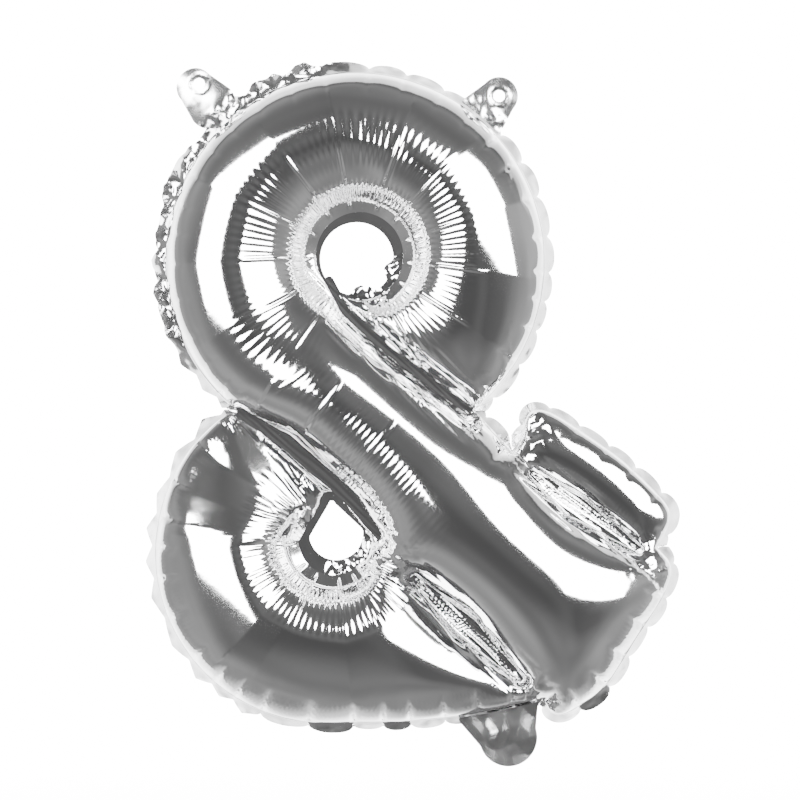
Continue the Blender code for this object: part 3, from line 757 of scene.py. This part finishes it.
def sheet_points():
    """The weld lines, and points inside: rows along welds, spokes in the combs, hexagons elsewhere."""
    loops = [resample(loop, RING_STEP) for loop in contours(DEPTH, FX, FZ, 0.0)]
    inner = []
    row, depth = 1, TUBE * (1.0 - math.cos(ROW_STEP / TUBE))
    while depth < 9.0:
        for loop in loops if depth <= 1.1 else ():
            run = np.roll(loop, -1, axis=0) - np.roll(loop, 1, axis=0)
            normal = unit(np.column_stack([-run[:, 1], run[:, 0]]))
            trial = loop + normal * depth
            if np.median(foil_depth(trial)) < 0:
                trial = loop - normal * depth
            good = np.abs(foil_depth(trial) - depth) < 0.35 * depth + 0.004
            inner.append(trial[good])
        for loop in contours(DEPTH, FX, FZ, depth) if depth > 1.1 else ():
            if len(loop) > 8:
                loop = resample(loop, RING_STEP / 2)
                by_eye = np.minimum(circle(loop, UPPER_EYE), circle(loop, LOWER_EYE)) < 38.0
                inner.append(loop[by_eye | (np.arange(len(loop)) % 2 == 0)])
        row += 1
        depth = TUBE * (1.0 - math.cos(row * ROW_STEP / TUBE))
    edge = depth - 0.2
    grid = hexagons(low_corner, high_corner, 1.08)
    combs = []
    combed = np.zeros(len(grid), bool)
    for share, centre, first, last, pitch in (
        (bowl_shares(grid)[0], UPPER_EYE, 32.0, 76.0, UPPER_COMB_PITCH),
        (bowl_shares(grid)[1], LOWER_EYE, 28.0, 52.0, LOWER_COMB_PITCH),
    ):
        combed |= (circle(grid, centre) > first - 0.4) & (circle(grid, centre) < last) & (share > 0.5)
        spokes = np.arange(0.0, 360.0, pitch / 5.0)
        for k, rho in enumerate(np.arange(first, last, 1.5)):
            a = np.radians(spokes + (k % 2) * pitch / 10.0)
            combs.append(np.column_stack([centre[0] + rho * np.cos(a), centre[1] + rho * np.sin(a)]))
    combs = np.vstack(combs)
    nearer_upper = circle(combs, UPPER_EYE) < circle(combs, LOWER_EYE)
    combs = combs[np.where(nearer_upper, *bowl_shares(combs)) > 0.5]
    for more in (grid[~combed], combs):
        inner.append(more[read_depth(more) > edge])
    return loops, np.vstack(inner)


def placed(name, data):
    obj = bpy.data.objects.new(name, data)
    bpy.context.scene.collection.objects.link(obj)
    return obj


def new_piece(name, points, faces, material, nodes, smooth_angle=None):
    mesh = bpy.data.meshes.new(name)
    mesh.from_pydata((points * MM).tolist(), [], faces.tolist())
    mesh.update()
    mesh.materials.append(material)
    mesh.shade_smooth()
    if smooth_angle is not None:
        mesh.set_sharp_from_angle(angle=math.radians(smooth_angle))
    piece = placed(name, mesh)
    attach(piece, "root")
    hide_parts(*nodes)


def build_sheets(material):
    loops, inner = sheet_points()
    places, faces = triangulate(loops, inner, read_depth)
    depth = np.maximum(foil_depth(places), 0.0)
    fixed = np.unique(rim_of(faces, len(places)))
    depth[fixed] = 0.0
    height = inflated(panelled(places, depth), depth)
    height[fixed] = 0.0
    for name, side in (("front_foil", -1), ("back_foil", 1)):
        base = np.column_stack([places[:, 0], side * height, places[:, 1]])
        turned = faces if side < 0 else faces[:, ::-1]
        normal = vertex_normals(base, turned)
        normal[fixed, 1] = 0.0
        normal = unit(normal)
        if normal[np.argmax(height), 1] * side < 0:
            normal, turned = -normal, turned[:, ::-1]
        points = base + normal * ripples(places, depth, side)[:, None]
        clear = SKIN_CLEARANCE * np.minimum(depth, 1.0)
        points[:, 1] = side * np.maximum(side * points[:, 1], clear)
        new_piece(f"{name}_skin", points, turned, material, [name])


# ---- Materials ----
def new_node(tree, kind, **values):
    node = tree.nodes.new(kind)
    for port, value in values.items():
        node.inputs[port].default_value = value
    return node


def noise_texture(tree, place, scale, detail):
    node = new_node(tree, "ShaderNodeTexNoise", Scale=scale, Detail=detail)
    tree.links.new(place, node.inputs["Vector"])
    return node.outputs["Fac"]


def mapped(tree, value, start, end, low, high, interpolation="LINEAR"):
    ranges = {"From Min": start, "From Max": end, "To Min": low, "To Max": high}
    node = new_node(tree, "ShaderNodeMapRange", **ranges)
    node.interpolation_type = interpolation
    tree.links.new(value, node.inputs["Value"])
    return node.outputs["Result"]


def new_material(name):
    material = bpy.data.materials.new(name)
    material.use_nodes = True
    tree = material.node_tree
    return material, tree, tree.nodes, tree.links, tree.nodes["Principled BSDF"]


def foil_material(name, colour, roughness, coarse=0.0, metallic=1.0):
    """Metallised film with faint changes of tint and gloss, and where it is rough a net of creases."""
    material, tree, nodes, links, shader = new_material(name)
    shader.inputs["Metallic"].default_value = metallic
    place = nodes.new("ShaderNodeTexCoord").outputs["Object"]
    shade = nodes.new("ShaderNodeValToRGB")
    shade.color_ramp.elements[0].position = 0.3
    shade.color_ramp.elements[1].position = 0.75
    shade.color_ramp.elements[0].color = (*[c * 0.97 for c in colour], 1.0)
    shade.color_ramp.elements[1].color = (*colour, 1.0)
    links.new(noise_texture(tree, place, 18.0, 3.0), shade.inputs["Fac"])
    links.new(shade.outputs["Color"], shader.inputs["Base Color"])
    wear = noise_texture(tree, place, 90.0, 4.0)
    links.new(mapped(tree, wear, 0.0, 1.0, roughness * 0.7, roughness * 1.4), shader.inputs["Roughness"])
    bump = new_node(tree, "ShaderNodeBump", Strength=0.25, Distance=0.00006)
    links.new(noise_texture(tree, place, 260.0, 2.0), bump.inputs["Height"])
    if coarse:
        cells = new_node(tree, "ShaderNodeTexVoronoi", Scale=300.0)
        cells.feature = "DISTANCE_TO_EDGE"
        links.new(place, cells.inputs["Vector"])
        fine, bump = bump, new_node(tree, "ShaderNodeBump", Strength=coarse, Distance=0.0004)
        links.new(cells.outputs["Distance"], bump.inputs["Height"])
        links.new(fine.outputs["Normal"], bump.inputs["Normal"])
    links.new(bump.outputs["Normal"], shader.inputs["Normal"])
    return material


FOIL = foil_material("mirror_foil", (0.90, 0.90, 0.905), 0.06)
HEM = foil_material("crinkled_hem", (0.88, 0.88, 0.885), 0.13, coarse=0.1)
TAB = foil_material("tab_film", (0.90, 0.90, 0.905), 0.17)
TAIL = foil_material("tail_film", (0.87, 0.87, 0.875), 0.15)
VALVE = foil_material("valve_tube", (0.78, 0.78, 0.785), 0.2, metallic=0.0)


# ---- Hem, welds, tabs and tail, as creased films ----
RUN_ENDS = np.concatenate([[0.0], np.cumsum([
    float(np.sum(np.hypot(*np.diff(np.array(run), axis=0).T))) for run in RUNS.values()
])])


def film(name, region, box, spacing, lift, material, thickness=FILM, sharp=22.0, grid=0.4):
    """A thin closed film over a region of the weld plane, lifted out of it, named after its node."""
    low, high = box
    xs, zs = np.arange(low[0], high[0] + grid, grid), np.arange(low[1], high[1] + grid, grid)
    value = region(grid_points(xs, zs)).reshape(len(xs), len(zs))
    value[[0, -1]] = -1.0
    value[:, [0, -1]] = -1.0
    loops = [resample(loop, spacing) for loop in contours(value, xs, zs, 0.0) if len(loop) > 5]
    inner = hexagons(low, high, spacing)
    inner = inner[region(inner) > 0.45 * spacing]
    places, faces = triangulate(loops, inner, region)
    count = len(places)
    y = lift(places)
    front = np.column_stack([places[:, 0], y - thickness / 2, places[:, 1]])
    back = np.column_stack([places[:, 0], y + thickness / 2, places[:, 1]])
    sides = rim_of(faces, count)
    walls = np.concatenate([
        np.column_stack([sides[:, 0], sides[:, 0] + count, sides[:, 1]]),
        np.column_stack([sides[:, 1], sides[:, 0] + count, sides[:, 1] + count]),
    ])
    everything = np.concatenate([faces, faces[:, ::-1] + count, walls])
    new_piece(f"{name}_film", np.vstack([front, back]), everything, material, [name], sharp)


def around(*centres, reach):
    corners = np.array(centres)
    return corners.min(axis=0) - reach, corners.max(axis=0) + reach


def hem_width(x, z, s):
    """Rounded lobes, pointed ones at the lower left, and a ragged edge where the hem is crumpled."""
    crumpled = ramp(-x, -20.0, 40.0) * ramp(z, -160.0, -120.0)
    pointed = ramp(-x, 40.0, 60.0) * (1.0 - crumpled)
    place, which = lobe_place(s)
    uneven = 1.0 + 0.25 * noise(which * 3.7, 0.2, 302)
    rounded = 1.3 + 3.7 * uneven * np.sqrt(np.maximum(1.0 - (1.0 - place) ** 2.2, 0.0))
    corners = 1.8 + 4.0 * uneven * place
    ragged = 6.6 + 2.2 * facets(s / 5.5, 0.0, 303) + 0.6 * facets(s / 2.6, 0.3, 304)
    return rounded * (1 - pointed - crumpled) + corners * pointed + ragged * crumpled, crumpled


def build_hem():
    for k, name in enumerate(RUNS):
        first, last = RUN_ENDS[k], RUN_ENDS[k + 1]

        def region(points):
            away, s = read_outline(points)
            width = hem_width(points[:, 0], points[:, 1], s)[0]
            return np.min([width - away, away + 0.15, s - first - 0.1, last - 0.1 - s], axis=0)

        def lift(points):
            away, s = read_outline(points)
            crumpled = hem_width(points[:, 0], points[:, 1], s)[1]
            place, which = lobe_place(s)
            flat = ramp(-points[:, 1], 305.0, 325.0) * ramp(noise(which * 3.3, 0.2, 309), 0.0, 0.3)
            back = (1.45 - 1.2 * flat) * away + 0.10 * away * noise(which * 5.1, 0.7, 305)
            back += 0.35 * away * np.exp(-place / 0.12)
            shallow = 0.20 * away * facets(s / 4.0, away / 4.0, 306)
            ruffle = 0.85 * facets(s / 8.5, away / 9.0, 307) + 0.30 * facets(s / 4.2, away / 4.6, 308)
            ruffle *= away
            return np.clip((back + shallow) * (1 - crumpled) + 1.25 * ruffle * crumpled, -8.0, 9.0)

        box = around(*RUNS[name], reach=9.0)
        film(f"{name}_hem", region, box, 0.9, lift, HEM, sharp=18.0, grid=0.6)


def lobe(ear, hole):
    inward = np.array(UPPER_BOWL) - np.array(ear)
    root = tuple(np.array(ear) + inward / np.hypot(*inward) * TAB_ROOT_HALF)

    def region(points):
        shape = -band(points, [ear, root], [TAB_RADIUS, TAB_ROOT_HALF])
        return np.min([shape, circle(points, hole, TAB_HOLE_RADIUS), read_outline(points)[0] - 1.0], axis=0)

    return region


def build_seams():
    def ring_region(ring, hole, crossing):
        return lambda p: np.min([0.3 - ring(p), hole(p), crossing(p)], axis=0)

    def flapped_hole(p):
        """The upper hole, with two ragged flaps of film left standing in its lower right."""
        theta = (polar(p, UPPER_HOLE)[1] + 180.0) % 360.0 - 180.0
        flap = 4.6 * hump(theta, -104.0, -90.0, -72.0, -56.0) + 4.0 * hump(theta, -36.0, -24.0, -14.0, 2.0)
        return circle(p, UPPER_HOLE, UPPER_HOLE_RADIUS) + flap * (1.0 + 0.35 * facets(theta / 9.0, 0.0, 411))

    def ring_lift(centre, seed):
        def lift(p):
            rho, theta = polar(p, centre)
            rough = angle_window(theta, 250.0, 268.0, 350.0, 370.0)
            inwards = ramp(-rho, -22.0, -16.0)
            uneven = 0.12 * noise(p[:, 0] / 7.0, p[:, 1] / 7.0, seed)
            return uneven + (1.0 + inwards) * rough * creased_film(p, 4.2, seed + 1)

        return lift

    film("upper_eye_seam", ring_region(upper_ring, flapped_hole, upper_crossing),
         around(UPPER_EYE, reach=28.0), 0.8, ring_lift(UPPER_EYE, 401), FOIL)
    film("lower_eye_seam", ring_region(lower_ring, lower_hole, lower_crossing),
         around(LOWER_EYE, reach=28.0), 0.8, ring_lift(LOWER_EYE, 402), FOIL)
    for name, line, weld, amount, cells in (
        ("upper_crossing_seam", UPPER_CROSSING, upper_crossing, 0.25, 2.6),
        ("lower_crossing_seam", LOWER_CROSSING, lower_crossing, 0.12, 5.0),
        ("lower_weld_island", LOWER_ISLAND, lower_island, 0.75, 3.2),
        ("right_weld_island", RIGHT_ISLAND, right_island, 0.75, 3.2),
    ):
        def region(p):
            return np.min([0.3 - weld(p), 0.4 - read_outline(p)[0]], axis=0)

        def lift(p):
            t, across = along_and_across(p, line[0], line[-1])
            inside = ramp(-weld(p), 0.0, 1.5)
            bent = across / 2.7 + 0.5 * noise(t / 30.0, across / 9.0, 403)
            uneven = 0.7 + 0.5 * noise(np.floor(bent) * 1.7, t / 26.0, 405)
            folds = np.abs((bent % 1.0) - 0.5) * 2.0 * uneven
            end = np.minimum(t, math.dist(line[0], line[-1]) - t)
            rough = 0.08 + 1.0 * (1.0 - ramp(end, 5.0, 15.0))
            return amount * inside * (folds + rough * creased(t / cells / 1.6, across / cells, 404))

        film(name, region, around(*line, reach=8.0), 0.7, lift, FOIL)


def build_tabs():
    for name, ear, hole, seed, bend in (
        ("hang_tab_left", TAB_LEFT, TAB_LEFT_HOLE, 501, 1.0),
        ("hang_tab_right", TAB_RIGHT, TAB_RIGHT_HOLE, 540, -0.6),
    ):
        def lift(p):
            t, across = along_and_across(p, UPPER_BOWL, ear)
            t -= UPPER_BOWL_RADIUS
            rim = np.exp(-((circle(p, hole) - 5.0) / 0.8) ** 2)
            sway = bend * 0.10 * (t - 4.0) * np.sin(across / 7.0 + 0.6)
            root = hump(t, 1.0, 4.0, 7.0, 12.0)
            folds = 0.9 * creased_film(p, 12.0, seed) * ramp(t, 0.0, 5.0)
            folds += 1.3 * root * creased_film(p, 4.5, seed + 4)
            return sway + folds - 0.3 * rim

        film(name, lobe(ear, hole), around(ear, reach=32.0), 0.9, lift, TAB, sharp=14.0)


def build_tail():
    def region(p):
        shape = -band(p, [TAIL_ROOT, TAIL_END], [TAIL_ROOT_HALF, TAIL_END_HALF])
        return np.min([shape, read_outline(p)[0] - 1.0], axis=0)

    def tongue(p):
        end = np.array(TAIL_END) - np.array(TAIL_ROOT)
        end = tuple(np.array(TAIL_ROOT) + end / np.hypot(*end) * VALVE_LENGTH)
        shape = -band(p, [TAIL_ROOT, end], [VALVE_HALF, VALVE_HALF])
        return np.min([shape, read_outline(p)[0] - 1.5], axis=0)

    def creases(p, seed):
        return 1.3 * creased_film(p, 10.0, seed)

    box = around(TAIL_ROOT, TAIL_END, reach=26.0)
    for name, away, amount, seed in (
        ("fill_tail_front", -1.6, 0.8, 601),
        ("fill_tail_back", 1.5, 0.75, 620),
    ):
        def lift(p):
            return away + amount * creases(p, seed)

        film(name, region, box, 0.9, lift, TAIL, TAIL_FILM, 12.0)
    film("valve_film", tongue, box, 1.0, lambda p: 0.2 * creases(p, 640), VALVE, TAIL_FILM)


build_sheets(FOIL)
build_hem()
build_seams()
build_tabs()
build_tail()


# ---- Stage, light and camera ----
def floor():
    mesh = bpy.data.meshes.new("floor")
    rim = [(1.6 * math.cos(a), 1.6 * math.sin(a), -0.46) for a in np.linspace(0, 2 * math.pi, 97)[:-1]]
    mesh.from_pydata(rim, [], [tuple(range(len(rim)))])
    obj = placed("floor", mesh)
    material, tree, nodes, links, shader = new_material("pale_floor")
    for port, value in (
        ("Base Color", (0.85, 0.85, 0.85, 1.0)),
        ("Roughness", 0.8),
        ("Emission Color", (1.0, 1.0, 1.0, 1.0)),
        ("Emission Strength", FLOOR_GLOW),
    ):
        shader.inputs[port].default_value = value
    away = nodes.new("ShaderNodeVectorMath")
    away.operation = "LENGTH"
    links.new(nodes.new("ShaderNodeTexCoord").outputs["Object"], away.inputs[0])
    links.new(mapped(tree, away.outputs["Value"], 0.6, 1.5, 1.0, 0.0, "SMOOTHSTEP"), shader.inputs["Alpha"])
    mesh.materials.append(material)
    obj.visible_glossy = False
    obj.visible_diffuse = False


def world():
    """A room dark behind camera and letter and pale beyond the sides, seen as plain white."""
    space = bpy.context.scene.world or bpy.data.worlds.new("studio")
    bpy.context.scene.world = space
    space.use_nodes = True
    tree = space.node_tree
    nodes, links = tree.nodes, tree.links
    nodes.clear()
    out = nodes.new("ShaderNodeOutputWorld")
    seen = new_node(tree, "ShaderNodeBackground", Color=(1.0, 1.0, 1.0, 1.0), Strength=SEEN_WHITE)
    felt = new_node(tree, "ShaderNodeBackground", Strength=ROOM_LIGHT)
    place = nodes.new("ShaderNodeTexCoord")
    split = nodes.new("ShaderNodeSeparateXYZ")
    links.new(place.outputs["Generated"], split.inputs[0])
    depth = mapped(tree, split.outputs["Y"], -1.0, 1.0, 0.0, 1.0)

    def room(stops):
        levels = nodes.new("ShaderNodeValToRGB")
        marks = levels.color_ramp.elements
        while len(marks) < len(stops):
            marks.new(0.5)
        for mark, (at, level) in zip(marks, stops):
            mark.position = 0.5 + 0.5 * at
            mark.color = (level, level, level, 1.0)
        links.new(depth, levels.inputs["Fac"])
        return levels.outputs["Color"]

    def blended(below, above, start, end):
        share = mapped(tree, split.outputs["Z"], start, end, 0.0, 1.0, "SMOOTHSTEP")
        mix = nodes.new("ShaderNodeMix")
        mix.data_type = "RGBA"
        links.new(share, mix.inputs["Factor"])
        links.new(below, mix.inputs["A"])
        links.new(above, mix.inputs["B"])
        return mix.outputs["Result"]

    side = room(((-1, .015), (-0.65, .025), (-0.45, .042), (-0.1, .054), (0.18, .06), (0.23, .38),
                 (0.45, .6), (0.78, .8), (0.9, .1), (1, .03)))
    high = room(((-1, .015), (-0.5, .021), (-0.1, .032), (0.06, .02), (0.12, .2), (0.4, .36),
                 (0.78, .7), (0.9, .09), (1, .03)))
    low = room(((-1, .014), (-0.6, .019), (-0.23, .036), (0.28, .15), (0.72, .42), (0.85, .2), (1, .05)))
    cloud = noise_texture(tree, place.outputs["Generated"], 1.7, 1.0)
    scaled = nodes.new("ShaderNodeVectorMath")
    scaled.operation = "SCALE"
    links.new(blended(low, blended(side, high, 0.15, 0.7), -0.95, -0.6), scaled.inputs[0])
    links.new(mapped(tree, cloud, 0.3, 0.7, 0.72, 1.4), scaled.inputs["Scale"])
    links.new(scaled.outputs["Vector"], felt.inputs["Color"])
    path = nodes.new("ShaderNodeLightPath")
    blend = nodes.new("ShaderNodeMixShader")
    links.new(path.outputs["Is Camera Ray"], blend.inputs["Fac"])
    links.new(felt.outputs["Background"], blend.inputs[1])
    links.new(seen.outputs["Background"], blend.inputs[2])
    links.new(blend.outputs["Shader"], out.inputs["Surface"])


CAMERA_X, CAMERA_Z, CAMERA_AWAY = 0.0270, -0.1643, 2.002


def softbox(name, azimuth, elevation, distance, width, height, power):
    """A soft light that faces the letter's middle."""
    light = bpy.data.lights.new(name, "AREA")
    light.shape = "RECTANGLE"
    light.size, light.size_y = width, height
    light.energy = power
    obj = placed(name, light)
    a, e = math.radians(azimuth), math.radians(elevation)
    way = Vector((math.sin(a) * math.cos(e), -math.cos(a) * math.cos(e), math.sin(e)))
    middle = Vector((CAMERA_X, 0.0, CAMERA_Z))
    obj.location = middle + way * distance
    obj.rotation_euler = way.to_track_quat("Z", "Y").to_euler()
    obj.visible_camera = False


def camera():
    data = bpy.data.cameras.new("camera")
    data.lens = 170.0
    data.sensor_width = 36.0
    obj = placed("camera", data)
    obj.location = (CAMERA_X, -CAMERA_AWAY, CAMERA_Z)
    obj.rotation_euler = (math.pi / 2, 0.0, 0.0)
    bpy.context.scene.camera = obj


floor()
world()
softbox("softbox_left", -32.0, 11.5, 3.0, 1.75, 2.27, 250.0)
softbox("softbox_right", 38.0, 16.0, 3.0, 2.2, 2.2, 300.0)
camera()
